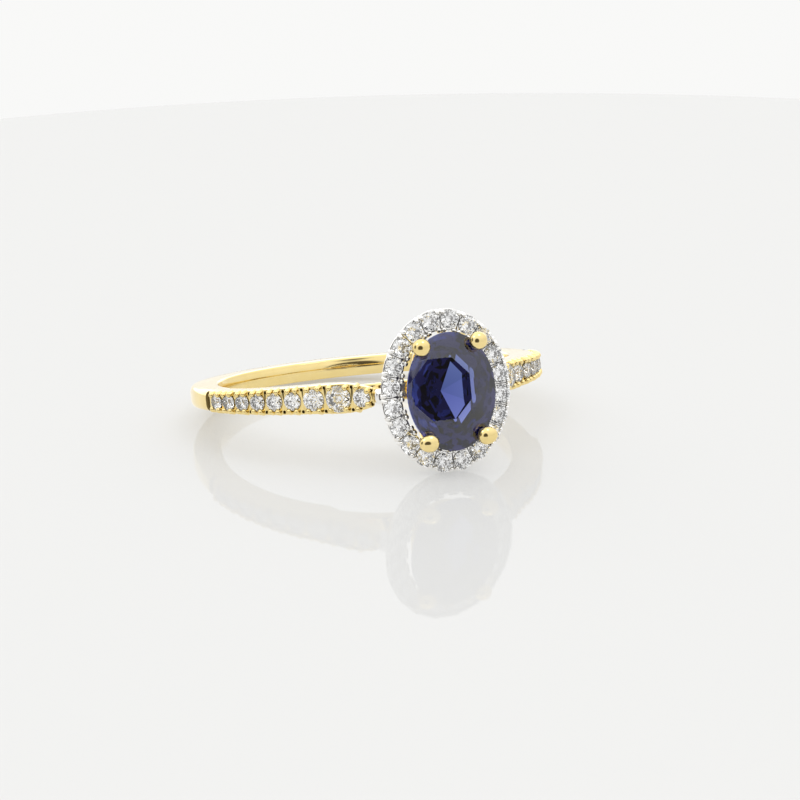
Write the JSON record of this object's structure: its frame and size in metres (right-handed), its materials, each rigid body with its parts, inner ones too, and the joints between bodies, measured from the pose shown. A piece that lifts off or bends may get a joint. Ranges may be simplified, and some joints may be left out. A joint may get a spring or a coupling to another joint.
{
  "type": "engagement ring",
  "caption": "Halo ring: an oval blue gemstone in claws inside an oval of small round diamonds, on a yellow gold band with diamond-set, swept-up shoulders.",
  "frame": {"origin": "middle of the bounding box at rest; the finger hole's centre is 1.75 mm from it, at +Y", "axes": "+Z along the finger hole's axis, -Y from the finger hole towards the head, +X to the wearer's side, so the ring lies on its side"},
  "size_m": [0.0204, 0.0238, 0.009],
  "materials": {
    "yellow_gold": "polished 18 carat yellow gold",
    "white_gold": "polished rhodium-plated white gold",
    "sapphire": "faceted and polished",
    "diamond": "faceted and polished"
  },
  "bodies": {
    "root": {"shank": "yellow_gold", "halo_frame": "white_gold", "halo_gallery": "white_gold", "centre_basket": "yellow_gold", "centre_sapphire": "sapphire", "halo_diamond_01": "diamond", "halo_diamond_02": "diamond", "halo_diamond_03": "diamond", "halo_diamond_04": "diamond", "halo_diamond_05": "diamond", "halo_diamond_06": "diamond", "halo_diamond_07": "diamond", "halo_diamond_08": "diamond", "halo_diamond_09": "diamond", "halo_diamond_10": "diamond", "halo_diamond_11": "diamond", "halo_diamond_12": "diamond", "halo_diamond_13": "diamond", "halo_diamond_14": "diamond", "halo_diamond_15": "diamond", "halo_diamond_16": "diamond", "halo_diamond_17": "diamond", "halo_diamond_18": "diamond", "halo_diamond_19": "diamond", "halo_diamond_20": "diamond", "left_shoulder_diamond_01": "diamond", "left_shoulder_diamond_02": "diamond", "left_shoulder_diamond_03": "diamond", "left_shoulder_diamond_04": "diamond", "left_shoulder_diamond_05": "diamond", "left_shoulder_diamond_06": "diamond", "left_shoulder_diamond_07": "diamond", "left_shoulder_diamond_08": "diamond", "left_shoulder_diamond_09": "diamond", "right_shoulder_diamond_01": "diamond", "right_shoulder_diamond_02": "diamond", "right_shoulder_diamond_03": "diamond", "right_shoulder_diamond_04": "diamond", "right_shoulder_diamond_05": "diamond", "right_shoulder_diamond_06": "diamond", "right_shoulder_diamond_07": "diamond", "right_shoulder_diamond_08": "diamond", "right_shoulder_diamond_09": "diamond"}
  },
  "joints": []
}
